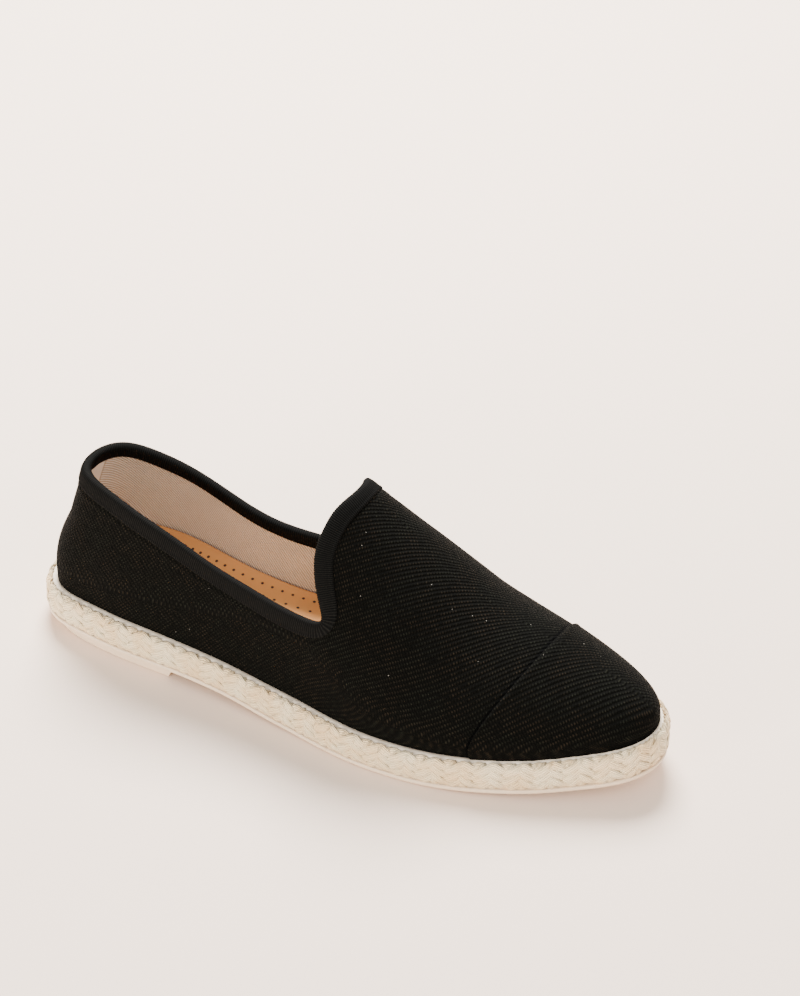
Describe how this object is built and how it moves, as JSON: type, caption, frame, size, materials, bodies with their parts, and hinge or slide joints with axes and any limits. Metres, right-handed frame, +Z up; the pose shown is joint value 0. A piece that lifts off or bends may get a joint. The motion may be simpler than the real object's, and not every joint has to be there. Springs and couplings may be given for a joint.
{
  "type": "espadrille",
  "caption": "Slip-on espadrille, right shoe, with a black canvas upper, ribbed collar binding, plaited jute band and cream rubber sole",
  "frame": {"origin": "On the floor under the middle of the shoe's bounding box", "axes": "+X points to the toe, +Y to the inner side of the foot, +Z up; the sole stands on z = 0"},
  "size_m": [0.264, 0.091, 0.0953],
  "materials": {
    "sole_rubber": "satin",
    "ledge_cotton": "matte",
    "jute_braid": "matte",
    "black_canvas": "matte",
    "black_ribbon": "matte",
    "tan_leather": "satin",
    "beige_twill": "matte"
  },
  "bodies": {
    "root": {"outsole": "sole_rubber", "midsole": "ledge_cotton", "braid_wrap": "jute_braid", "upper": "black_canvas", "toe_cap": "black_canvas", "collar_binding": "black_ribbon", "insole": "tan_leather"}
  },
  "joints": []
}
